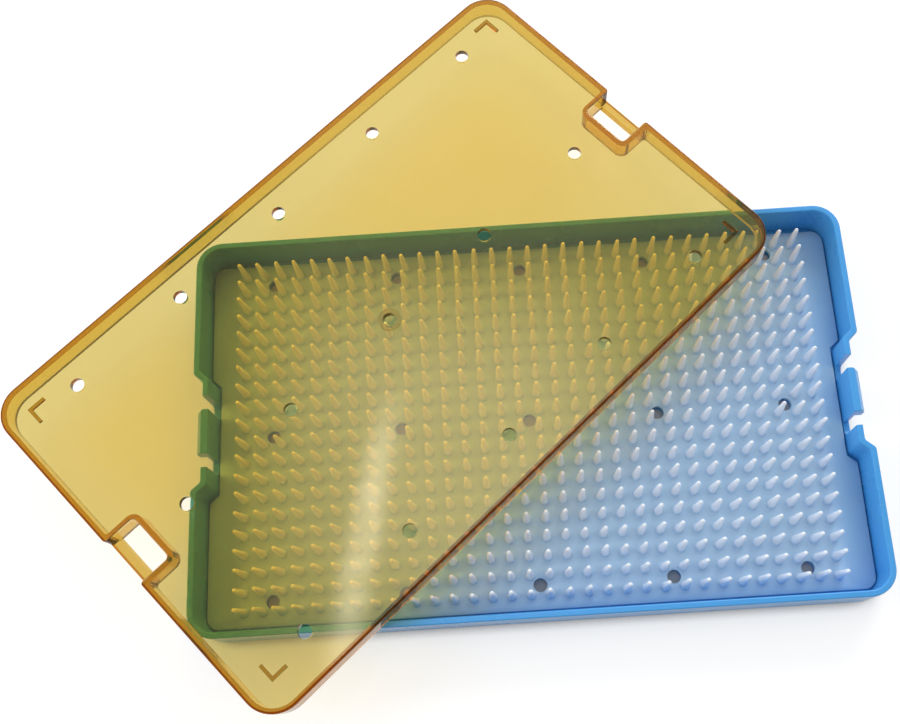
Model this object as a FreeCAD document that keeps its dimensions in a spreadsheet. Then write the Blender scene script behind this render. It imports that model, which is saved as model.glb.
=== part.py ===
"""Sterilization container: a moulded tray with snap tongues, a finger mat and a clear cap lid.

The frame has its origin at the centre of the tray's underside, X along the tray's
long side and Z up. All sizes are in millimetres.
"""
import FreeCAD, Part
import Sketcher
import math
import os

doc = FreeCAD.newDocument("sterilization_container")
sheet = doc.addObject("Spreadsheet::Sheet", "Dimensions")

DIMENSIONS = {
    # Tray
    "tray_length": 250.0,
    "tray_width": 152.4,
    "tray_height": 17.0,
    "tray_wall": 2.3,
    "tray_floor": 2.0,
    "tray_corner_radius": 10.0,
    "tray_foot_radius": 1.4,
    "tray_rim_radius": 0.5,
    # Recess in the middle of each end wall
    "recess_depth": 3.6,
    "recess_length": 39.0,
    "recess_slant": 3.0,
    "recess_radius": 2.0,
    # Snap tongues and the slots beside them, which end one sill above the floor
    "tongue_width": 17.2,
    "tongue_root_gap": 0.05,
    "tongue_top_radius": 0.4,
    "slot_width": 5.2,
    "slot_sill": 0.8,
    "slot_radius": 2.0,
    "hook_reach": 2.5,
    "hook_lead": 3.5,
    "hook_land": 0.3,
    "hook_corner_radius": 1.0,
    "hook_clearance": 0.2,
    # Vent holes, centred between four fingers; the steps count in from the outer fingers
    "vent_diameter": 5.2,
    "vent_end_steps": 2,
    "vent_side_steps": 1,
    # Finger mat; its corner radius is one step smaller than the wall's inside radius
    "mat_sheet": 1.6,
    "mat_end_clearance": 0.6,
    "mat_side_clearance": 1.9,
    "mat_seat_gap": 0.1,
    "mat_corner_step": 3.2,
    "mat_recess_margin": 0.8,
    # Fingers; the margins are the least that stays free of fingers along the mat's edge
    "finger_pitch": 7.0,
    "finger_end_margin": 9.0,
    "finger_side_margin": 3.0,
    "finger_rim_drop": 0.3,
    "finger_base_width": 3.0,
    "finger_tip_width": 1.4,
    # Lid
    "lid_clearance": 0.7,
    "lid_wall": 2.0,
    "lid_panel": 2.0,
    "lid_height": 9.0,
    "lid_corner_radius": 12.0,
    "lid_edge_radius": 0.8,
    "pocket_length": 20.0,
    "pocket_depth": 13.0,
    "pocket_radius": 1.8,
    "pocket_lip_radius": 1.2,
    "strap_width": 4.4,
    "strap_thickness": 1.4,
    "strap_lead_width": 1.8,
    "strap_lead_height": 0.7,
    "vent_ring_diameter": 8.6,
    "vent_ring_height": 0.5,
    "stacking_rib_leg": 7.0,
    "stacking_rib_width": 1.3,
    "stacking_rib_height": 0.8,
    "stacking_rib_inset": 11.0,
    # Where the lid lies, turned, on the open tray
    "lid_rest_x": -49.3,
    "lid_rest_y": 35.6,
    "lid_rest_turn": 41.4,
    "lid_rest_gap": 0.1,
}


class Size:
    """A length that knows both its value and the sheet expression that gives it."""

    def __init__(self, value, text):
        self.value = value
        self.text = text

    def joined(self, sign, other, value):
        text = other.text if isinstance(other, Size) else repr(other)
        return Size(value, f"({self.text} {sign} {text})")

    def __add__(self, other):
        return self.joined("+", other, self.value + number(other))

    def __sub__(self, other):
        return self.joined("-", other, self.value - number(other))

    def __mul__(self, other):
        return self.joined("*", other, self.value * number(other))

    def __truediv__(self, other):
        return self.joined("/", other, self.value / number(other))

    def __neg__(self):
        return self * -1


def number(quantity):
    """Give the plain value of a size or a number."""
    return quantity.value if isinstance(quantity, Size) else quantity


def whole(quantity):
    """Round a size down to a whole number."""
    return Size(math.floor(quantity.value), f"floor({quantity.text})")


def fill_sheet():
    """Write every driving dimension to its own aliased cell and return them as sizes."""
    sizes = {}
    for row, (name, value) in enumerate(DIMENSIONS.items(), start=1):
        sheet.set(f"A{row}", name)
        sheet.set(f"B{row}", str(value))
        sheet.setAlias(f"B{row}", name)
        sizes[name] = Size(value, f"Dimensions.{name}")
    doc.recompute()
    return sizes


size = fill_sheet()


def bind(item, field, length):
    """Tie a property or a sketch constraint to the sheet."""
    item.setExpression(field, length.text if isinstance(length, Size) else str(length))


def new_body(name):
    body = doc.addObject("PartDesign::Body", name)
    body.Label = name
    return body


def new_sketch(body, name, role, height=None):
    """Attach a sketch to one of the body's own origin planes, raised by height."""
    sketch = body.newObject("Sketcher::SketchObject", name)
    plane = next(item for item in body.Origin.OriginFeatures if item.Role == role)
    sketch.AttachmentSupport = [(plane, "")]
    sketch.MapMode = "FlatFace"
    if height is not None:
        bind(sketch, "AttachmentOffset.Base.z", height)
    return sketch


def pin_point(sketch, geometry, position, point):
    """Hold one sketch point at an X and Y that follow the sheet."""
    for kind, axis, coordinate in (("DistanceX", -2, point[0]), ("DistanceY", -1, point[1])):
        if number(coordinate) == 0:
            sketch.addConstraint(Sketcher.Constraint("PointOnObject", geometry, position, axis))
            continue
        held = Sketcher.Constraint(kind, -1, 1, geometry, position, number(coordinate))
        index = sketch.addConstraint(held)
        bind(sketch, f"Constraints[{index}]", coordinate)


def arc_between(start, end, radius):
    """Give the arc that turns left from start to end."""
    chord = end - start
    left = FreeCAD.Vector(-chord.y, chord.x, 0).normalize()
    centre = (start + end) / 2 + left * math.sqrt(radius**2 - chord.Length**2 / 4)
    return Part.Arc(start, centre - left * radius, end)


def add_outline(sketch, points):
    """Draw a closed outline through the points.

    A point with a third entry starts an arc of that radius, which turns left to the next
    point; any other point starts a straight line.
    """
    corners = [FreeCAD.Vector(number(point[0]), number(point[1]), 0) for point in points]
    first = sketch.GeometryCount
    count = len(points)
    for index, point in enumerate(points):
        start = corners[index]
        end = corners[(index + 1) % count]
        if len(point) == 3:
            sketch.addGeometry(arc_between(start, end, number(point[2])), False)
        else:
            sketch.addGeometry(Part.LineSegment(start, end), False)
    for index, point in enumerate(points):
        following = first + (index + 1) % count
        sketch.addConstraint(Sketcher.Constraint("Coincident", first + index, 2, following, 1))
        pin_point(sketch, first + index, 1, point)
        if len(point) == 3:
            held = Sketcher.Constraint("Radius", first + index, number(point[2]))
            bind(sketch, f"Constraints[{sketch.addConstraint(held)}]", point[2])


def add_circle(sketch, centre, diameter):
    middle = FreeCAD.Vector(number(centre[0]), number(centre[1]), 0)
    up = FreeCAD.Vector(0, 0, 1)
    circle = sketch.addGeometry(Part.Circle(middle, up, number(diameter) / 2), False)
    pin_point(sketch, circle, 3, centre)
    index = sketch.addConstraint(Sketcher.Constraint("Diameter", circle, number(diameter)))
    bind(sketch, f"Constraints[{index}]", diameter)


def pad(body, name, sketch, length, symmetric=False):
    feature = body.newObject("PartDesign::Pad", name)
    feature.Profile = sketch
    bind(feature, "Length", length)
    if symmetric:
        feature.SideType = "Symmetric"
    doc.recompute()
    return feature


def pocket(body, name, sketch, length=None, upwards=False, symmetric=False):
    """Cut to a length, or right through where no length is given."""
    volume_before = body.Shape.Volume
    feature = body.newObject("PartDesign::Pocket", name)
    feature.Profile = sketch
    feature.Reversed = upwards
    if length is None:
        feature.Type = "ThroughAll"
    else:
        bind(feature, "Length", length)
    if symmetric:
        feature.SideType = "Symmetric"
    doc.recompute()
    if body.Shape.Volume >= volume_before:
        raise RuntimeError(f"{name} removes nothing from {body.Label}")
    return feature


def near(value, target):
    return abs(value - number(target)) < 1e-3


def edge_names(shape, wanted):
    """Name the edges whose middle and direction meet the wanted test."""
    names = []
    for index, edge in enumerate(shape.Edges, start=1):
        if edge.Degenerated:
            continue
        first, last = edge.ParameterRange
        middle = edge.valueAt((first + last) / 2)
        direction = edge.tangentAt((first + last) / 2)
        if wanted(middle, direction):
            names.append(f"Edge{index}")
    return names


def fillet(body, name, wanted, radius):
    base = body.Tip
    feature = body.newObject("PartDesign::Fillet", name)
    feature.Base = (base, edge_names(base.Shape, wanted))
    bind(feature, "Radius", radius)
    doc.recompute()
    return feature


def upright_at(places):
    """Match upright edges at the mirrored places, given as positive X and Y."""
    def wanted(middle, direction):
        upright = abs(direction.z) > 0.999
        x, y = abs(middle.x), abs(middle.y)
        return upright and any(near(x, place[0]) and near(y, place[1]) for place in places)
    return wanted


def level_at(height):
    """Match every edge that lies at one height."""
    def wanted(middle, direction):
        return near(middle.z, height) and abs(direction.z) < 0.001
    return wanted


def add_vents(body, name, height, length, upwards):
    """Cut the regular grid of vent holes, which clears the fingers."""
    sketch = new_sketch(body, f"{name}_sketch", "XY_Plane", height)
    column_pitch = size["finger_pitch"] * whole((half_columns - size["vent_end_steps"]) / 2)
    row_pitch = size["finger_pitch"] * (half_rows - size["vent_side_steps"])
    for column in range(-2, 3):
        for row in range(-1, 2):
            add_circle(sketch, (column_pitch * column, row_pitch * row), size["vent_diameter"])
    return pocket(body, name, sketch, length, upwards)


def notched_outline(half_length, half_width, radius, inner, outer, depth):
    """List the corners of a rounded rectangle with a notch in the middle of each short end.

    The notch is `inner` to each side of the middle at its bottom and `outer` at its mouth.
    """
    right_half = [
        (half_length - radius, -half_width, radius),
        (half_length, radius - half_width),
        (half_length, -outer),
        (half_length - depth, -inner),
        (half_length - depth, inner),
        (half_length, outer),
        (half_length, half_width - radius, radius),
        (half_length - radius, half_width),
    ]
    left_half = [(-x, -y, *arc) for x, y, *arc in right_half]
    return right_half + left_half


half_length = size["tray_length"] / 2
half_width = size["tray_width"] / 2
recess_inner = size["recess_length"] / 2
recess_outer = recess_inner + size["recess_slant"]
slot_outer = size["tongue_width"] / 2 + size["slot_width"]
slot_floor = size["tray_floor"] + size["slot_sill"]
tongue_outside = half_length - size["recess_depth"]
tongue_inside = tongue_outside - size["tray_wall"]
mat_end_inset = size["tray_wall"] + size["mat_end_clearance"]
mat_length = half_length - mat_end_inset
mat_width = half_width - size["tray_wall"] - size["mat_side_clearance"]
mat_underside = size["tray_floor"] + size["mat_seat_gap"]
mat_top = mat_underside + size["mat_sheet"]


def fingers_that_fit(half_side, margin):
    """Count the fingers between the middle and one edge of the mat, half a pitch off the middle."""
    room = half_side - margin - size["finger_base_width"] / 2
    return whole(room / size["finger_pitch"] + 0.5)


half_columns = fingers_that_fit(mat_length, size["finger_end_margin"])
half_rows = fingers_that_fit(mat_width, size["finger_side_margin"])


def wall_shift(offset):
    """Shift along Y of a recess corner when the outline moves inwards by offset."""
    slant_angle = math.atan2(number(size["recess_depth"]), number(size["recess_slant"]))
    text = f"tan(atan2({size['recess_depth'].text}; {size['recess_slant'].text}) / 2)"
    return offset * Size(math.tan(slant_angle / 2), text)


def build_tray():
    """Moulded tray: upright wall, a recess in each end, slots for the snap tongues."""
    body = new_body("tray_base")
    outside = new_sketch(body, "tray_outside", "XY_Plane")
    add_outline(outside, notched_outline(
        half_length, half_width, size["tray_corner_radius"], recess_inner, recess_outer,
        size["recess_depth"]))
    pad(body, "tray_block", outside, size["tray_height"])
    recess_corners = [(half_length, recess_outer), (tongue_outside, recess_inner)]
    fillet(body, "recess_corners", upright_at(recess_corners), size["recess_radius"])
    fillet(body, "foot_round", level_at(0), size["tray_foot_radius"])

    inner_length = half_length - size["tray_wall"]
    inner_width = half_width - size["tray_wall"]
    shift = wall_shift(size["tray_wall"])
    inside = new_sketch(body, "tray_inside", "XY_Plane", size["tray_height"])
    add_outline(inside, notched_outline(
        inner_length, inner_width, size["tray_corner_radius"] - size["tray_wall"],
        recess_inner + shift, recess_outer + shift, size["recess_depth"]))
    pocket(body, "tray_cavity", inside, size["tray_height"] - size["tray_floor"])
    cavity_steps = [(inner_length, recess_outer + shift), (tongue_inside, recess_inner + shift)]
    fillet(body, "cavity_recess_corners", upright_at(cavity_steps), size["recess_radius"])
    fillet(body, "rim_round", level_at(size["tray_height"]), size["tray_rim_radius"])

    opening = new_sketch(body, "tongue_opening_sketch", "YZ_Plane")
    above_rim = size["tray_height"] + size["tray_floor"]
    add_outline(opening, [(-slot_outer, slot_floor), (slot_outer, slot_floor),
                          (slot_outer, above_rim), (-slot_outer, above_rim)])
    pocket(body, "tongue_opening", opening, size["tray_length"] * 2, symmetric=True)
    fillet(body, "slot_corners",
           lambda middle, direction: (abs(direction.x) > 0.999 and near(middle.z, slot_floor)
                                      and near(abs(middle.y), slot_outer)),
           size["slot_radius"])
    add_vents(body, "tray_vents", size["tray_floor"], size["tray_floor"] * 2, False)
    return body


def build_tongue(name, side):
    """Snap tongue with an outward hook; side is 1 at the +X end and -1 at the -X end."""
    body = new_body(name)
    hook_outside = tongue_outside + size["hook_reach"]
    closed_strap_top = (size["tray_height"] + size["lid_panel"] - size["lid_height"]
                        + size["strap_thickness"])
    hook_underside = closed_strap_top + size["hook_clearance"]
    profile = [
        (tongue_inside, slot_floor + size["tongue_root_gap"]),
        (tongue_outside, slot_floor + size["tongue_root_gap"]),
        (tongue_outside, hook_underside),
        (hook_outside, hook_underside),
        (hook_outside, size["tray_height"] - size["hook_lead"]),
        (tongue_outside + size["hook_land"], size["tray_height"]),
        (tongue_inside, size["tray_height"]),
    ]
    sketch = new_sketch(body, f"{name}_profile", "XZ_Plane")
    add_outline(sketch, [(x * side, z) for x, z in profile])
    pad(body, f"{name}_block", sketch, size["tongue_width"], symmetric=True)

    def is_hook_corner(middle, direction):
        at_end = near(abs(middle.y), size["tongue_width"] / 2) and abs(direction.y) < 0.001
        past_wall = abs(middle.x) > number(tongue_outside) and abs(direction.z) > 0.5
        return at_end and past_wall

    fillet(body, f"{name}_hook_corners", is_hook_corner, size["hook_corner_radius"])
    fillet(body, f"{name}_top",
           lambda middle, direction: (near(middle.z, size["tray_height"])
                                      and abs(direction.y) < 0.001),
           size["tongue_top_radius"])
    return body


def build_mat():
    """Silicone sheet that follows the inside of the wall and lies on the tray floor."""
    body = new_body("finger_mat")
    shift = wall_shift(mat_end_inset) + size["mat_recess_margin"]
    corner_radius = size["tray_corner_radius"] - size["tray_wall"] - size["mat_corner_step"]
    outline = new_sketch(body, "mat_outline", "XY_Plane", mat_underside)
    add_outline(outline, notched_outline(
        mat_length, mat_width, corner_radius, recess_inner + shift, recess_outer + shift,
        size["recess_depth"]))
    pad(body, "mat_block", outline, size["mat_sheet"])
    add_vents(body, "mat_vents", mat_top, size["mat_sheet"] * 2, False)
    return body


def build_fingers():
    """Group of separate tapered fingers that stand on the mat on a square pitch."""
    base = size["finger_base_width"] / 2
    tip = size["finger_tip_width"] / 2
    finger = doc.addObject("Part::Wedge", "single_finger")
    for field, length in (("Xmin", -base), ("Xmax", base), ("Zmin", -base), ("Zmax", base),
                          ("X2min", -tip), ("X2max", tip), ("Z2min", -tip), ("Z2max", tip),
                          ("Ymin", mat_top), ("Ymax", size["tray_height"] - size["finger_rim_drop"])):
        bind(finger, field, length)
    finger.Placement.Rotation = FreeCAD.Rotation(FreeCAD.Vector(1, 0, 0), 90)
    doc.recompute()

    pitch = size["finger_pitch"].value
    fingers = []
    for column in range(-half_columns.value, half_columns.value):
        for row in range(-half_rows.value, half_rows.value):
            place = FreeCAD.Vector((column + 0.5) * pitch, (row + 0.5) * pitch, 0)
            fingers.append(finger.Shape.translated(place))
    group = doc.addObject("Part::Feature", "mat_fingers")
    group.Label = "mat_fingers"
    group.Shape = Part.makeCompound(fingers)
    return group


def build_lid():
    """Clear cap lid with a pocket, an open window and a latch strap at each short end."""
    body = new_body("lid")
    margin = size["lid_clearance"] + size["lid_wall"]
    lid_length = half_length + margin
    lid_width = half_width + margin
    pocket_side = size["pocket_length"] / 2
    pocket_back = lid_length - size["pocket_depth"]

    outside = new_sketch(body, "lid_outside", "XY_Plane")
    add_outline(outside, notched_outline(
        lid_length, lid_width, size["lid_corner_radius"], pocket_side, pocket_side,
        size["pocket_depth"]))
    pad(body, "lid_block", outside, size["lid_height"])
    fillet(body, "pocket_corners", upright_at([(pocket_back, pocket_side)]),
           size["pocket_radius"])
    fillet(body, "pocket_lips", upright_at([(lid_length, pocket_side)]),
           size["pocket_lip_radius"])
    fillet(body, "lid_edge", level_at(size["lid_height"]), size["lid_edge_radius"])

    inner_length = lid_length - size["lid_wall"]
    inner_width = lid_width - size["lid_wall"]
    inner_side = pocket_side + size["lid_wall"]
    inside = new_sketch(body, "lid_inside", "XY_Plane")
    add_outline(inside, notched_outline(
        inner_length, inner_width, size["lid_corner_radius"] - size["lid_wall"], inner_side,
        inner_side, size["pocket_depth"]))
    pocket(body, "lid_cavity", inside, size["lid_height"] - size["lid_panel"], upwards=True)
    fillet(body, "pocket_wall_corners",
           upright_at([(pocket_back - size["lid_wall"], inner_side)]),
           size["pocket_radius"] + size["lid_wall"])
    fillet(body, "skirt_inside_corners", upright_at([(inner_length, inner_side)]),
           size["pocket_lip_radius"])

    for name, side in (("right_strap", 1), ("left_strap", -1)):
        strap_inside = lid_length - size["strap_width"]
        section = [
            (strap_inside + size["strap_lead_width"], 0),
            (lid_length, 0),
            (lid_length, size["strap_thickness"]),
            (strap_inside, size["strap_thickness"]),
            (strap_inside, size["strap_lead_height"]),
        ]
        sketch = new_sketch(body, f"{name}_section", "XZ_Plane")
        add_outline(sketch, [(x * side, z) for x, z in section])
        pad(body, name, sketch, size["pocket_length"] + size["lid_wall"], symmetric=True)

    ring = new_sketch(body, "vent_ring_sketch", "XY_Plane", size["lid_height"])
    add_circle(ring, (0, 0), size["vent_ring_diameter"])
    pad(body, "vent_ring", ring, size["vent_ring_height"])

    ribs = new_sketch(body, "stacking_rib_sketch", "XY_Plane", size["lid_height"])
    leg = size["stacking_rib_leg"]
    thick = size["stacking_rib_width"]
    far_x = lid_length - size["stacking_rib_inset"]
    far_y = lid_width - size["stacking_rib_inset"]
    corner_rib = [
        (far_x, far_y), (far_x - leg, far_y), (far_x - leg, far_y - thick),
        (far_x - thick, far_y - thick), (far_x - thick, far_y - leg), (far_x, far_y - leg),
    ]
    for mirror_x in (1, -1):
        for mirror_y in (1, -1):
            add_outline(ribs, [(x * mirror_x, y * mirror_y) for x, y in corner_rib])
    pad(body, "stacking_ribs", ribs, size["stacking_rib_height"])

    ring_top = size["lid_height"] + size["vent_ring_height"]
    add_vents(body, "lid_vents", ring_top, size["lid_height"], False)

    body.Placement.Rotation = FreeCAD.Rotation(FreeCAD.Vector(0, 0, 1), 1)
    bind(body, "Placement.Rotation.Angle", size["lid_rest_turn"])
    bind(body, "Placement.Base.x", size["lid_rest_x"])
    bind(body, "Placement.Base.y", size["lid_rest_y"])
    bind(body, "Placement.Base.z", size["tray_height"] + size["lid_rest_gap"])
    doc.recompute()
    return body


def check_document():
    """Stop where any object of the document failed to compute."""
    doc.recompute()
    for item in doc.Objects:
        if "Invalid" in item.State or "Error" in item.State:
            raise RuntimeError(f"{item.Name} failed: {item.State}")


def export(nodes):
    """Check each piece's shape and write it to a STEP file named after the piece."""
    os.makedirs("parts", exist_ok=True)
    for node in nodes:
        if node.Shape.isNull() or not node.Shape.isValid():
            raise RuntimeError(f"{node.Label} has no valid shape")
    for node in nodes:
        node.Shape.exportStep(f"parts/{node.Label}.step")
        print(node.Label, len(node.Shape.Solids), "solids", round(node.Shape.Volume), "mm3")


pieces = [
    build_tray(),
    build_tongue("right_latch_tongue", 1),
    build_tongue("left_latch_tongue", -1),
    build_mat(),
    build_fingers(),
    build_lid(),
]
check_document()
export(pieces)
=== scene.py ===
"""Looks of the sterilization container: moulded tray, silicone finger mat and clear amber lid."""
import math
import random

import bmesh
import bpy
from mathutils import Matrix, Vector


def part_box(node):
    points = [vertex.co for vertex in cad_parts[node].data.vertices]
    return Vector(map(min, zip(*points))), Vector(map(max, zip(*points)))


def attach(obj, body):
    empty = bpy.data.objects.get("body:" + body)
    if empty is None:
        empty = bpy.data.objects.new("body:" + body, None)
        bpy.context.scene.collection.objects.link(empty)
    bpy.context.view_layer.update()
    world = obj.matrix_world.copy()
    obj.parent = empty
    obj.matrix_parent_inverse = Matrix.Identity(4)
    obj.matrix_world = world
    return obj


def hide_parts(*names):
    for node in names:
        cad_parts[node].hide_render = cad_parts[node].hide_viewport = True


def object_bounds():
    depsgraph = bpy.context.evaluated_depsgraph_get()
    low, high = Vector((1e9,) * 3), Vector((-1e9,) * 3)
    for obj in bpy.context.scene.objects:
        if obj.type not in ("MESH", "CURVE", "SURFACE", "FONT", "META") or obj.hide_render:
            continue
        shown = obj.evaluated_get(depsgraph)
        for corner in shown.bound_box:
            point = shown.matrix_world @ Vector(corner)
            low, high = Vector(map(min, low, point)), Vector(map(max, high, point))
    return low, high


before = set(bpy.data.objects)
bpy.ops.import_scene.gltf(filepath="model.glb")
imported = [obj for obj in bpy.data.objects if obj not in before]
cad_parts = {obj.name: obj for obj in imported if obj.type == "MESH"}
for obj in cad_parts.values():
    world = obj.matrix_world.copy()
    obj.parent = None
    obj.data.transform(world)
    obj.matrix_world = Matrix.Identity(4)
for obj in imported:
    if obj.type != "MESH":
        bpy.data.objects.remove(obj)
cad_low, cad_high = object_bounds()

MM = 0.001

# Photograph: its size in pixels, and what its view measures to
PHOTO_WIDTH = 900
PHOTO_HEIGHT = 724
FOCAL_PIXELS = 948.4
AXIS_PIXEL = (520.0, 456.4)
VIEW_AZIMUTH = 1.117
VIEW_ELEVATION = 74.826
VIEW_ROLL = -4.809
VIEW_DISTANCE = 359.75 * MM
VIEW_TARGET = Vector((-4.474, -13.846, 3.7)) * MM
SENSOR_WIDTH = 36.0
VIEW_NEAR = 0.01
VIEW_FAR = 50

# Silicone mat: its outer sizes come from the CAD nodes
SHEET_LOW, SHEET_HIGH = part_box("finger_mat")
FINGERS_LOW, FINGERS_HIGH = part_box("mat_fingers")
MAT_CORNER_RADIUS = 4.5 * MM
MAT_EDGE_ROUND = 0.3 * MM
RECESS_DEPTH = 3.6 * MM
RECESS_SLANT = 3.0 * MM
MAT_RECESS_HALF = 21.66 * MM
VENT_RADIUS = 2.6 * MM
VENT_SPACING = (49.0, 63.0)
VENT_COLUMNS = [column * VENT_SPACING[0] * MM for column in range(-2, 3)]
VENT_ROWS = [row * VENT_SPACING[1] * MM for row in range(-1, 2)]
FINGER_PITCH = 7.0 * MM
CORNER_STEPS = 8
WELD_DISTANCE = 0.004 * MM

# Cells round the fingers: steps along a side, and along a vent's quarter
SIDE_STEPS = 4
VENT_STEPS = 4

# Fingers: a fillet at the foot (extra radius, height), a taper and a round tip
FINGER_FOOT_RADIUS = 1.62 * MM
FINGER_TIP_RADIUS = 0.74 * MM
FINGER_LEAN = 0.22 * MM
FINGER_SEED = 7
FILLET_RINGS = ((0.42 * MM, 0.0), (0.14 * MM, 0.12 * MM))
FILLET_HEIGHT = 0.5 * MM
TAPER_SHARES = (0.25, 0.5, 0.75, 1.0)
TIP_ANGLES = (30, 55, 75)

# Edges sharper than this many degrees stay sharp
MAT_SHARP_ANGLE = 50
CAD_SHARP_ANGLE = 25

# Lid: its turn, outline, pockets and the heights of its panel, without the ribs
LID_LOW, LID_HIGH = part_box("lid")
LID_TURN = 41.4
LID_HALF_LENGTH = 127.7 * MM
LID_HALF_WIDTH = 78.9 * MM
LID_CORNER_RADIUS = 12.0 * MM
POCKET_START = 112.5 * MM
POCKET_HALF = 13.0 * MM
RING_REACH = 20.0 * MM
PANEL_LOW = 24.1 * MM
PANEL_TOP = 26.1 * MM

# Noise: the middle values that are spread over a range
NOISE_MARKS = (0.3, 0.7)
NOISE_DETAIL = 4.0

# Tray plastic; in each material a cloud is the scale of slow changes in colour and roughness,
# a grain or ripple that of fine relief, and its relief is its strength and height
TRAY_DARK = (0.06, 0.335, 0.74)
TRAY_LIGHT = (0.07, 0.365, 0.79)
TRAY_ROUGHNESS = (0.24, 0.34)
TRAY_CLOUD = 28.0
TRAY_GRAIN = 1800.0
TRAY_RELIEF = (0.12, 0.05 * MM)

# Silicone: the sheet, painted light on the stretch between the fingers, and the fingers
SHEET_DARK = (0.36, 0.58, 0.80)
SHEET_LIGHT = (0.40, 0.62, 0.84)
# Painted light: the stretch between the fingers is lightened towards this colour, lifting the
# shade the fingers cast on it
FIELD_PAINTED_LIGHT = (0.69, 0.85, 1.0)
FIELD_LIGHT_SHARE = 0.4
FIELD_LIGHT_FADE = (-1.0 * MM, 4.0 * MM)
FINGER_COLOR = (0.80, 0.85, 0.95)
FINGER_FADE = (-0.2 * MM, 3.0 * MM)
SILICONE_ROUGHNESS = (0.34, 0.46)
SILICONE_CLOUD = 45.0
SILICONE_GRAIN = 900.0
SILICONE_RELIEF = (0.15, 0.06 * MM)

# Amber plastic: its own tint and painted shade by place, and what its body takes out of light that
# crosses it
PANEL_DARK = (0.98, 0.95, 0.84)
PANEL_LIGHT = (1.0, 0.97, 0.88)
# Painted shade: the pocket, ring, ribs, outer sides and top edge are darker amber and brown,
# standing in for light's longer paths through the lid there
POCKET_PAINTED_SHADE = (0.93, 0.72, 0.32)
RING_PAINTED_SHADE = (0.78, 0.66, 0.40)
RIB_PAINTED_SHADE = (0.34, 0.17, 0.02)
SIDE_PAINTED_SHADE = (0.50, 0.155, 0.025)
TOP_EDGE_PAINTED_SHADE = (0.26, 0.042, 0.003)
# Painted glow: the outer sides' gloss is tinted orange, standing in for orange light coming out of
# the lid's edges
SIDE_PAINTED_GLOW = (1.0, 0.42, 0.08)
PLAIN_GLOSS = (1.0, 1.0, 1.0)
AMBER_ROUGHNESS = (0.03, 0.06)
AMBER_CLOUD = 22.0
AMBER_RIPPLE = 60.0
AMBER_RELIEF = (0.05, 0.2 * MM)
AMBER_BODY = (0.92, 0.81, 0.18)
AMBER_DENSITY = 720.0
AMBER_SHADOW = (1.0, 1.0, 0.94)
PLACE_FADE = 1.0 * MM
RAISED_FADE = (0.05 * MM, 0.4 * MM)
OUTLINE_SHADE_FADE = (-1.1 * MM, -0.6 * MM)
TOP_EDGE_SHADE_FADE = 0.5 * MM

# Floor, where a glow of 1 is white: its own glow, the share of it that is seen through the lid,
# how open a spot has to be to glow, and the extra glow far away
FLOOR_SIZE = 12
FLOOR_COLOR = (0.50, 0.50, 0.50)
FLOOR_ROUGHNESS = 0.9
FLOOR_GLOW = 0.62
GLOW_THROUGH_LID = 0.66
OPEN_REACH = 8 * MM
OPEN_SAMPLES = 8
OPEN_MARKS = (0.35, 0.75)
FAR_MARKS = (0.6, 2.0)
FAR_GLOW = 0.4

# Surround, by the height and the slopes of a direction: it dims upwards, to the left and to
# the front, and a slanted strip and a wide patch above the lid are brighter
WHITE = (1.0, 1.0, 1.0)
SURROUND_MARKS = (0.25, 0.9)
SURROUND_LEVELS = (1.0, 0.45)
LEAST_HEIGHT = 0.05
LEFT_MARKS = (-0.33, -0.20)
LEFT_LEVEL = 0.3
LEFT_HEIGHTS = (0.75, 0.85)
FRONT_MARKS = (-0.9, -0.2)
FRONT_LEVEL = 0.45
STRIP_GLOW = 3.9
STRIP_SLANT = 0.21
STRIP_PLACE = 0.218
STRIP_MARKS = (0.002, 0.028)
STRIP_START = (0.0, 0.12)
STRIP_END = (0.24, 0.38)
STRIP_MOTTLE = (0.6, 1.4)
MOTTLE_SCALE = 45.0
MOTTLE_DETAIL = 2.0
WIDE_GLOW = 2.3
WIDE_MIDDLE = (-0.06, 0.28)
WIDE_MARKS = ((0.05, 0.30), (0.05, 0.28))

# Lamps: name, place, width and height in metres, power in watts, and whether gloss mirrors it
LAMPS = (
    ("left_lamp", (-1.3, 0.2, 0.8), 0.8, 0.8, 9, False),
    ("back_lamp", (0.6, 1.5, 0.9), 0.9, 0.7, 15, True),
)

RISING = (0.0, 1.0)
FALLING = (1.0, 0.0)


def set_up_camera():
    """Place the camera at the photograph's viewing angle."""
    azimuth = math.radians(VIEW_AZIMUTH)
    elevation = math.radians(VIEW_ELEVATION)
    roll = math.radians(VIEW_ROLL)
    back = Vector((math.sin(azimuth) * math.cos(elevation),
                   -math.cos(azimuth) * math.cos(elevation),
                   math.sin(elevation)))
    level_right = Vector((math.cos(azimuth), math.sin(azimuth), 0))
    level_up = back.cross(level_right)
    right = math.cos(roll) * level_right + math.sin(roll) * level_up
    up = back.cross(right)
    data = bpy.data.cameras.new("photo_camera")
    data.sensor_width = SENSOR_WIDTH
    data.lens = FOCAL_PIXELS / PHOTO_WIDTH * SENSOR_WIDTH
    data.shift_x = (PHOTO_WIDTH / 2 - AXIS_PIXEL[0]) / PHOTO_WIDTH
    data.shift_y = (AXIS_PIXEL[1] - PHOTO_HEIGHT / 2) / PHOTO_WIDTH
    data.clip_start = VIEW_NEAR
    data.clip_end = VIEW_FAR
    camera = bpy.data.objects.new("photo_camera", data)
    bpy.context.scene.collection.objects.link(camera)
    turn = Matrix((right, up, back)).transposed().to_4x4()
    camera.matrix_world = Matrix.Translation(VIEW_TARGET + back * VIEW_DISTANCE) @ turn
    bpy.context.scene.camera = camera


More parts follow.
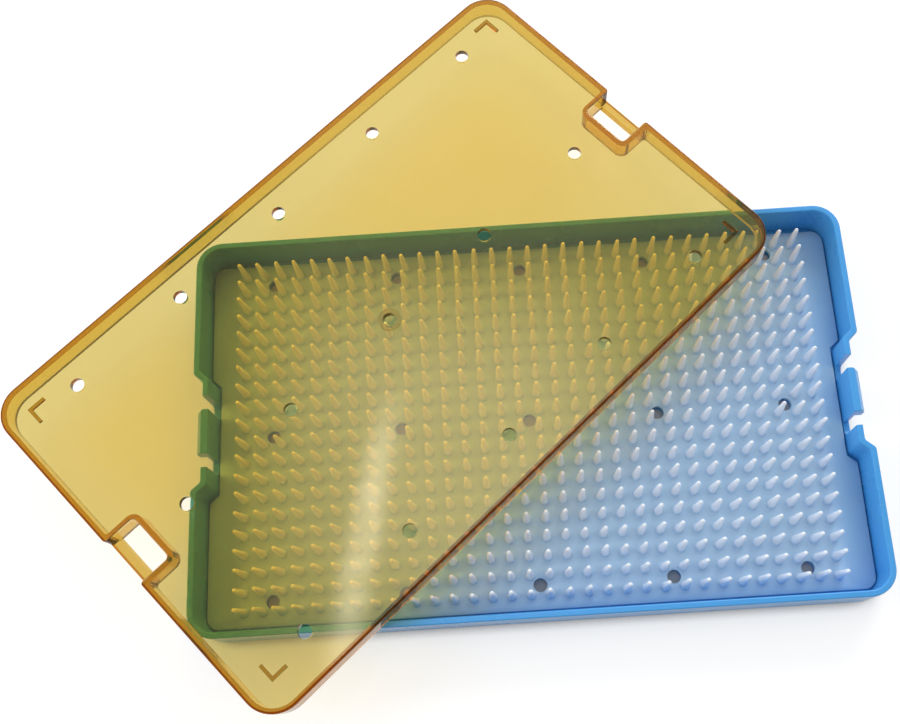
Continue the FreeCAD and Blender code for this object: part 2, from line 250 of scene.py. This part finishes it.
class Graph:
    """Nodes of one material or surround, with short ways to combine them."""

    def __init__(self, tree):
        self.nodes = tree.nodes
        self.links = tree.links

    def fill(self, node, values):
        """Give a node's inputs numbers, colours or other nodes' outputs."""
        for name, value in values.items():
            socket = node.inputs[name]
            if isinstance(value, bpy.types.NodeSocket):
                self.links.new(value, socket)
            elif socket.type == "RGBA":
                socket.default_value = (*value, 1)
            else:
                socket.default_value = value

    def add(self, kind, values, **settings):
        """A new node with its settings and the values of its inputs."""
        node = self.nodes.new(kind)
        for name, value in settings.items():
            setattr(node, name, value)
        self.fill(node, values)
        return node

    def place(self, kind="Object"):
        """Place of a point in the frame, or its direction with the kind Generated."""
        return self.add("ShaderNodeTexCoord", {}).outputs[kind]

    def split(self, vector):
        """The three parts of a vector."""
        parts = self.add("ShaderNodeSeparateXYZ", {"Vector": vector}).outputs
        return parts["X"], parts["Y"], parts["Z"]

    def ray(self, kind):
        """1 for rays of a kind and 0 for the others."""
        return self.add("ShaderNodeLightPath", {}).outputs[f"Is {kind} Ray"]

    def math(self, operation, *values):
        return self.add("ShaderNodeMath", dict(enumerate(values)), operation=operation).outputs[0]

    def product(self, first, *others):
        for other in others:
            first = self.math("MULTIPLY", first, other)
        return first

    def total(self, first, *others):
        for other in others:
            first = self.math("ADD", first, other)
        return first

    def ramp(self, value, marks, levels, interpolation="SMOOTHSTEP"):
        """Turn a value from one level to another between two marks."""
        values = {"Value": value, "From Min": marks[0], "From Max": marks[1],
                  "To Min": levels[0], "To Max": levels[1]}
        node = self.add("ShaderNodeMapRange", values, interpolation_type=interpolation)
        return node.outputs["Result"]

    def noise(self, scale, detail=NOISE_DETAIL, place="Object"):
        values = {"Scale": scale, "Detail": detail, "Vector": self.place(place)}
        return self.add("ShaderNodeTexNoise", values).outputs["Fac"]

    def spread(self, noise, levels=RISING):
        """Map a noise evenly to a range."""
        return self.ramp(noise, NOISE_MARKS, levels, "LINEAR")

    def bump(self, noise, strength, distance):
        """Surface relief that follows a noise."""
        values = {"Strength": strength, "Distance": distance, "Height": noise}
        return self.add("ShaderNodeBump", values).outputs["Normal"]

    def mix(self, share, first, second):
        """Blend from the first colour to the second by a share."""
        values = {"Factor": share, "A": first, "B": second}
        return self.add("ShaderNodeMix", values, data_type="RGBA").outputs["Result"]


def new_material(name):
    """A material with the graph of its nodes and its main shader."""
    material = bpy.data.materials.new(name)
    material.use_nodes = True
    graph = Graph(material.node_tree)
    return material, graph, graph.nodes["Principled BSDF"]


def tray_plastic():
    """Blue moulded plastic with a satin gloss and a faint moulding grain."""
    material, graph, shader = new_material("tray_plastic")
    cloud = graph.noise(TRAY_CLOUD)
    graph.fill(shader, {
        "Base Color": graph.mix(graph.spread(cloud), TRAY_DARK, TRAY_LIGHT),
        "Roughness": graph.spread(cloud, TRAY_ROUGHNESS),
        "Normal": graph.bump(graph.noise(TRAY_GRAIN), *TRAY_RELIEF),
        "IOR": 1.49,
        "Subsurface Weight": 0.15,
        "Subsurface Radius": (0.3, 0.7, 1.0),
        "Subsurface Scale": 1.5 * MM,
    })
    return material


def silicone():
    """Milky silicone rubber: the tray's blue shows through the sheet, the fingers are whiter, and
    painted light lightens the stretch between them.
    """
    material, graph, shader = new_material("mat_silicone")
    cloud = graph.noise(SILICONE_CLOUD)
    x, y, height = graph.split(graph.place())
    sheet = graph.mix(graph.spread(cloud), SHEET_DARK, SHEET_LIGHT)
    # Painted light between the fingers, fading out at the edge of the finger field
    inside = []
    for offset, end in ((x, FINGERS_HIGH.x), (y, FINGERS_HIGH.y)):
        marks = [end + fade for fade in FIELD_LIGHT_FADE]
        inside.append(graph.ramp(graph.math("ABSOLUTE", offset), marks, FALLING))
    between = graph.mix(graph.product(*inside, FIELD_LIGHT_SHARE), sheet, FIELD_PAINTED_LIGHT)
    rise = graph.ramp(height, [SHEET_HIGH.z + fade for fade in FINGER_FADE], RISING)
    graph.fill(shader, {
        "Base Color": graph.mix(rise, between, FINGER_COLOR),
        "Roughness": graph.spread(cloud, SILICONE_ROUGHNESS),
        "Normal": graph.bump(graph.noise(SILICONE_GRAIN), *SILICONE_RELIEF),
        "IOR": 1.41,
        "Subsurface Weight": 0.7,
        "Subsurface Radius": (1.0, 1.0, 1.0),
        "Subsurface Scale": 1.6 * MM,
    })
    return material


def lid_place(graph):
    """Distances from the lid's middle along it and across it, and the height."""
    x, y, height = graph.split(graph.place())
    x = graph.math("SUBTRACT", x, (LID_LOW.x + LID_HIGH.x) / 2)
    y = graph.math("SUBTRACT", y, (LID_LOW.y + LID_HIGH.y) / 2)
    cosine = math.cos(math.radians(LID_TURN))
    sine = math.sin(math.radians(LID_TURN))
    along = graph.total(graph.product(x, cosine), graph.product(y, sine))
    across = graph.math("SUBTRACT", graph.product(y, cosine), graph.product(x, sine))
    return graph.math("ABSOLUTE", along), graph.math("ABSOLUTE", across), height


def lid_outline(graph, along, across):
    """1 within the outer skin of the lid's sides and rounded corners, and 0 further in."""
    squares = []
    for offset, half in ((along, LID_HALF_LENGTH), (across, LID_HALF_WIDTH)):
        beyond = graph.math("MAXIMUM", graph.math("SUBTRACT", offset, half - LID_CORNER_RADIUS), 0)
        squares.append(graph.product(beyond, beyond))
    reach = graph.math("SQRT", graph.total(*squares))
    marks = [LID_CORNER_RADIUS + fade for fade in OUTLINE_SHADE_FADE]
    return graph.ramp(reach, marks, RISING)


def lid_colors_and_painted_shade(graph, cloud):
    """Colour and gloss of the lid by place: the panel's own tint, painted shade on the pockets,
    ring, ribs, sides and top edge, and a painted orange glow in the outer sides' gloss.
    """
    along, across, height = lid_place(graph)
    panel = graph.mix(graph.spread(cloud), PANEL_DARK, PANEL_LIGHT)
    # Painted shade: deeper amber on the pockets, a duller ring and dark brown ribs
    at_pocket = graph.product(
        graph.ramp(height, (PANEL_LOW - PLACE_FADE, PANEL_LOW), FALLING),
        graph.ramp(along, (POCKET_START - PLACE_FADE, POCKET_START), RISING),
        graph.ramp(across, (POCKET_HALF - PLACE_FADE, POCKET_HALF), FALLING))
    pocket_shaded = graph.mix(at_pocket, panel, POCKET_PAINTED_SHADE)
    raised_part = graph.ramp(height, [PANEL_TOP + fade for fade in RAISED_FADE], RISING)
    past_ring = graph.ramp(along, (RING_REACH, RING_REACH + PLACE_FADE), RISING)
    ring = graph.mix(raised_part, pocket_shaded, RING_PAINTED_SHADE)
    rib_shaded = graph.mix(graph.product(raised_part, past_ring), ring, RIB_PAINTED_SHADE)
    # Painted shade: dark orange-brown outer sides and a darker line along the top edge
    outline = lid_outline(graph, along, across)
    inner_face = graph.add("ShaderNodeNewGeometry", {}).outputs["Backfacing"]
    outer_side = graph.product(outline, graph.math("SUBTRACT", 1, inner_face))
    side_shaded = graph.mix(outer_side, rib_shaded, SIDE_PAINTED_SHADE)
    upper = graph.ramp(height, (PANEL_LOW, PANEL_LOW + TOP_EDGE_SHADE_FADE), RISING)
    color = graph.mix(graph.product(outline, upper), side_shaded, TOP_EDGE_PAINTED_SHADE)
    # Painted glow: the outer sides' gloss is tinted orange
    return color, graph.mix(outer_side, PLAIN_GLOSS, SIDE_PAINTED_GLOW)


def amber_plastic():
    """Clear amber plastic that turns orange-brown where light crosses more of it, through its body
    and through painted shade at its pockets, ring, ribs, sides and top edge.
    """
    material, graph, shader = new_material("lid_plastic")
    cloud = graph.noise(AMBER_CLOUD)
    color, gloss = lid_colors_and_painted_shade(graph, cloud)
    graph.fill(shader, {
        "Base Color": color,
        "Specular Tint": gloss,
        "Roughness": graph.spread(cloud, AMBER_ROUGHNESS),
        "Normal": graph.bump(graph.noise(AMBER_RIPPLE), *AMBER_RELIEF),
        "IOR": 1.52,
        "Transmission Weight": 0.985,
    })
    absorption = graph.add("ShaderNodeVolumeAbsorption",
                           {"Color": AMBER_BODY, "Density": AMBER_DENSITY})
    clear = graph.add("ShaderNodeBsdfTransparent", {"Color": AMBER_SHADOW})
    lit_through = graph.add("ShaderNodeMixShader", {
        0: graph.ray("Shadow"), 1: shader.outputs["BSDF"], 2: clear.outputs["BSDF"]})
    graph.fill(graph.nodes["Material Output"], {
        "Surface": lit_through.outputs["Shader"], "Volume": absorption.outputs["Volume"]})
    return material


def arc_points(centre, radius, start, end, steps):
    """Points along an arc, its ends included; the angles are in degrees."""
    turns = [math.radians(start + (end - start) * step / steps) for step in range(steps + 1)]
    return [centre + Vector((math.cos(turn), math.sin(turn))) * radius for turn in turns]


def mat_outline(inset):
    """Outline of the mat, moved inwards, with a recess in the middle of each short end."""
    length = SHEET_HIGH.x - inset
    width = SHEET_HIGH.y - inset
    radius = MAT_CORNER_RADIUS - inset
    shift = inset * math.tan(math.atan2(RECESS_DEPTH, RECESS_SLANT) / 2)
    inner = MAT_RECESS_HALF + shift
    outer = inner + RECESS_SLANT
    front = arc_points(Vector((length - radius, radius - width)), radius, -90, 0, CORNER_STEPS)
    back = arc_points(Vector((length - radius, width - radius)), radius, 0, 90, CORNER_STEPS)
    recess = [Vector((length, -outer)), Vector((length - RECESS_DEPTH, -inner)),
              Vector((length - RECESS_DEPTH, inner)), Vector((length, outer))]
    right_half = front + recess + back
    return right_half + [-point for point in right_half]


def is_vent(place):
    """Whether a corner of the finger cells is the middle of a vent hole."""
    near_column = any(abs(place.x - x) < MM for x in VENT_COLUMNS)
    return near_column and any(abs(place.y - y) < MM for y in VENT_ROWS)


def cell_outline(centre):
    """Square round one finger, from the middle; a vent at a corner cuts an arc out of it."""
    half = FINGER_PITCH / 2
    points = []
    headings = [Vector((1, 0)), Vector((0, 1)), Vector((-1, 0)), Vector((0, -1))]
    for index, heading in enumerate(headings):
        arriving = headings[index - 1]
        corner = (arriving - heading) * half
        following = (heading - headings[(index + 1) % 4]) * half
        at_vent = is_vent(centre + corner)
        if at_vent:
            start = math.degrees(math.atan2(-arriving.y, -arriving.x))
            points += arc_points(corner, VENT_RADIUS, start, start - 90, VENT_STEPS)
        else:
            points.append(corner)
        for step in range(1, SIDE_STEPS):
            point = corner + heading * FINGER_PITCH * (step / SIDE_STEPS)
            past_start = not at_vent or (point - corner).length > VENT_RADIUS
            past_end = not is_vent(centre + following) or (point - following).length > VENT_RADIUS
            if past_start and past_end:
                points.append(point)
    return points


def finger_profile(height):
    """Radius and height of each ring up a finger of that height."""
    foot = FINGER_FOOT_RADIUS
    tip = FINGER_TIP_RADIUS
    rings = [(foot + extra, rise) for extra, rise in FILLET_RINGS] + [(foot, FILLET_HEIGHT)]
    straight = height - tip
    for share in TAPER_SHARES:
        rings.append((foot + (tip - foot) * share,
                      FILLET_HEIGHT + (straight - FILLET_HEIGHT) * share))
    for angle in TIP_ANGLES:
        turn = math.radians(angle)
        rings.append((tip * math.cos(turn), straight + tip * math.sin(turn)))
    return rings


def add_face(mesh, points):
    """Add a face with corners of its own; equal corners are welded when the mesh is whole."""
    mesh.faces.new([mesh.verts.new(point) for point in points])


def add_band(mesh, lower, upper):
    """Join two closed rows of points that have the same count."""
    count = len(lower)
    for index in range(count):
        after = (index + 1) % count
        add_face(mesh, (lower[index], lower[after], upper[after], upper[index]))


def raised(points, height):
    """Flat points at a height."""
    return [Vector((point.x, point.y, height)) for point in points]


def add_finger(mesh, centre, foot_height, tip_height, draw):
    """One cell of the mat's top with its finger, which leans a little."""
    edge = cell_outline(centre)
    turns = [math.atan2(point.y, point.x) for point in edge]
    lean = Vector((draw.uniform(-1, 1), draw.uniform(-1, 1))) * FINGER_LEAN
    height = tip_height - foot_height
    last = raised([centre + point for point in edge], foot_height)
    for radius, rise in finger_profile(height):
        middle = centre + lean * (rise / height) ** 2
        ring = [middle + Vector((math.cos(turn), math.sin(turn))) * radius for turn in turns]
        ring = raised(ring, foot_height + rise)
        add_band(mesh, last, ring)
        last = ring
    top = Vector((centre.x + lean.x, centre.y + lean.y, tip_height))
    for index, point in enumerate(last):
        add_face(mesh, (point, last[(index + 1) % len(last)], top))


def fill_flat(mesh, loops):
    """Fill the flat area between the first loop and the loops inside it."""
    edges = []
    for loop in loops:
        corners = [mesh.verts.new(point) for point in loop]
        edges += [mesh.edges.new((corners[index - 1], corners[index]))
                  for index in range(len(corners))]
    bmesh.ops.triangle_fill(mesh, use_beauty=True, use_dissolve=False, edges=edges)


def grid_edge(columns, rows, height):
    """Outer boundary of the finger cells, as a closed row of points."""
    half_x = columns * FINGER_PITCH / 2
    half_y = rows * FINGER_PITCH / 2
    step = FINGER_PITCH / SIDE_STEPS
    along = [-half_x + step * index for index in range(columns * SIDE_STEPS)]
    across = [-half_y + step * index for index in range(rows * SIDE_STEPS)]
    points = [Vector((x, -half_y)) for x in along] + [Vector((half_x, y)) for y in across]
    points += [Vector((-x, half_y)) for x in along] + [Vector((-half_x, -y)) for y in across]
    return raised(points, height)


def finger_count(low, high):
    """Fingers in a row: its length is their pitches and nearly half a pitch for the feet."""
    return round((high - low) / FINGER_PITCH + 0.5)


def smooth_surface(item, angle):
    """Shade curved stretches smoothly and keep edges above the angle sharp."""
    for polygon in item.data.polygons:
        polygon.use_smooth = True
    item.data.set_sharp_from_angle(angle=math.radians(angle))


def build_mat(material):
    """Silicone sheet and its fingers as one moulding, with the vent holes through it."""
    draw = random.Random(FINGER_SEED)
    mesh = bmesh.new()
    foot_height = SHEET_HIGH.z
    floor_height = SHEET_LOW.z
    columns = finger_count(FINGERS_LOW.x, FINGERS_HIGH.x)
    rows = finger_count(FINGERS_LOW.y, FINGERS_HIGH.y)
    for column in range(columns):
        for row in range(rows):
            centre = Vector((column - (columns - 1) / 2, row - (rows - 1) / 2)) * FINGER_PITCH
            add_finger(mesh, centre, foot_height, FINGERS_HIGH.z, draw)

    rounded = mat_outline(MAT_EDGE_ROUND)
    full = mat_outline(0.0)
    levels = [
        raised(rounded, floor_height),
        raised(full, floor_height + MAT_EDGE_ROUND),
        raised(full, foot_height - MAT_EDGE_ROUND),
        raised(rounded, foot_height),
    ]
    for lower, upper in zip(levels, levels[1:]):
        add_band(mesh, lower, upper)
    vents = [arc_points(Vector((x, y)), VENT_RADIUS, 0, 360, 4 * VENT_STEPS)[:-1]
             for x in VENT_COLUMNS for y in VENT_ROWS]
    for vent in vents:
        add_band(mesh, raised(vent, foot_height), raised(vent, floor_height))
    fill_flat(mesh, [levels[-1], grid_edge(columns, rows, foot_height)])
    fill_flat(mesh, [levels[0]] + [raised(vent, floor_height) for vent in vents])
    bmesh.ops.remove_doubles(mesh, verts=mesh.verts, dist=WELD_DISTANCE)
    bmesh.ops.recalc_face_normals(mesh, faces=mesh.faces)

    data = bpy.data.meshes.new("silicone_finger_mat")
    mesh.to_mesh(data)
    mesh.free()
    data.materials.append(material)
    mat = bpy.data.objects.new("silicone_finger_mat", data)
    bpy.context.scene.collection.objects.link(mat)
    smooth_surface(mat, MAT_SHARP_ANGLE)
    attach(mat, "mat")
    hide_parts("finger_mat", "mat_fingers")


def dress_node(name, material):
    """Give a CAD node its finished material."""
    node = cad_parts[name]
    node.data.materials.clear()
    node.data.materials.append(material)
    smooth_surface(node, CAD_SHARP_ANGLE)


def add_floor():
    """Plain white floor that keeps the object's shadow and stays dark under its vents."""
    bpy.ops.mesh.primitive_plane_add(size=FLOOR_SIZE, location=(0, 0, cad_low.z))
    floor = bpy.context.object
    floor.name = "floor"
    material, graph, shader = new_material("floor_white")
    graph.fill(shader, {"Base Color": FLOOR_COLOR, "Roughness": FLOOR_ROUGHNESS,
                        "Specular IOR Level": 0.0})
    # Rays through rough clear plastic count as glossy too, so they are taken out of those
    passed = graph.ray("Transmission")
    mirrored = graph.math("SUBTRACT", graph.ray("Glossy"), passed)
    seen = graph.math("MAXIMUM", graph.ray("Camera"), mirrored)
    seen = graph.math("MAXIMUM", seen, graph.product(passed, GLOW_THROUGH_LID))
    openness = graph.add("ShaderNodeAmbientOcclusion", {"Distance": OPEN_REACH},
                         samples=OPEN_SAMPLES).outputs["AO"]
    away = graph.add("ShaderNodeVectorMath", {0: graph.place()}, operation="LENGTH")
    glow = graph.total(graph.ramp(openness, OPEN_MARKS, (0.0, FLOOR_GLOW)),
                       graph.ramp(away.outputs["Value"], FAR_MARKS, (0.0, FAR_GLOW)))
    light = graph.add("ShaderNodeEmission", {"Strength": graph.product(seen, glow)})
    both = graph.add("ShaderNodeAddShader", {
        0: shader.outputs["BSDF"], 1: light.outputs["Emission"]})
    graph.fill(graph.nodes["Material Output"], {"Surface": both.outputs["Shader"]})
    floor.data.materials.append(material)


def add_lamp(name, place, width, height, watts, mirrored):
    """Large flat lamp that aims at the middle of the tray."""
    data = bpy.data.lights.new(name, "AREA")
    data.shape = "RECTANGLE"
    data.size = width
    data.size_y = height
    data.energy = watts
    lamp = bpy.data.objects.new(name, data)
    lamp.location = place
    lamp.visible_glossy = mirrored
    lamp.rotation_euler = (-Vector(place)).to_track_quat("-Z", "Y").to_euler()
    bpy.context.scene.collection.objects.link(lamp)


def strip_light(graph, across, along):
    """Slanted, slightly mottled strip, from 0 outside it to 1 along its middle."""
    leaning = graph.math("SUBTRACT", across, graph.product(along, STRIP_SLANT))
    off_middle = graph.math("ABSOLUTE", graph.total(leaning, STRIP_PLACE))
    mottle = graph.spread(graph.noise(MOTTLE_SCALE, MOTTLE_DETAIL, "Generated"), STRIP_MOTTLE)
    stretch = graph.product(graph.ramp(along, STRIP_START, RISING),
                            graph.ramp(along, STRIP_END, FALLING))
    return graph.product(graph.ramp(off_middle, STRIP_MARKS, FALLING), mottle, stretch)


def wide_light(graph, across, along):
    """Wide soft patch, from 0 outside it to 1 in its middle."""
    shares = []
    for slope, middle, marks in zip((across, along), WIDE_MIDDLE, WIDE_MARKS):
        off_middle = graph.math("ABSOLUTE", graph.math("SUBTRACT", slope, middle))
        shares.append(graph.ramp(off_middle, marks, FALLING))
    return graph.product(*shares)


def add_surround():
    """Soft surround with lit places above the lid; the camera itself sees plain white."""
    world = bpy.data.worlds.new("surround")
    bpy.context.scene.world = world
    world.use_nodes = True
    graph = Graph(world.node_tree)
    x, y, height = graph.split(graph.place("Generated"))
    above = graph.math("MAXIMUM", height, LEAST_HEIGHT)
    across = graph.math("DIVIDE", x, above)
    along = graph.math("DIVIDE", y, above)
    left_dim = graph.math("MAXIMUM", graph.ramp(across, LEFT_MARKS, (LEFT_LEVEL, 1.0)),
                          graph.ramp(height, LEFT_HEIGHTS, FALLING))
    front_dim = graph.ramp(y, FRONT_MARKS, (FRONT_LEVEL, 1.0))
    level = graph.product(graph.ramp(height, SURROUND_MARKS, SURROUND_LEVELS), left_dim, front_dim)
    light = graph.total(level,
                        graph.product(strip_light(graph, across, along), STRIP_GLOW),
                        graph.product(wide_light(graph, across, along), WIDE_GLOW))
    camera_ray = graph.ray("Camera")
    other_ray = graph.math("SUBTRACT", 1, camera_ray)
    graph.fill(graph.nodes["Background"], {
        "Color": WHITE, "Strength": graph.total(graph.product(light, other_ray), camera_ray)})


set_up_camera()
bpy.context.scene.view_settings.view_transform = "Standard"
add_surround()
for lamp in LAMPS:
    add_lamp(*lamp)
add_floor()

blue = tray_plastic()
for part in ("tray_base", "right_latch_tongue", "left_latch_tongue"):
    dress_node(part, blue)
build_mat(silicone())
dress_node("lid", amber_plastic())
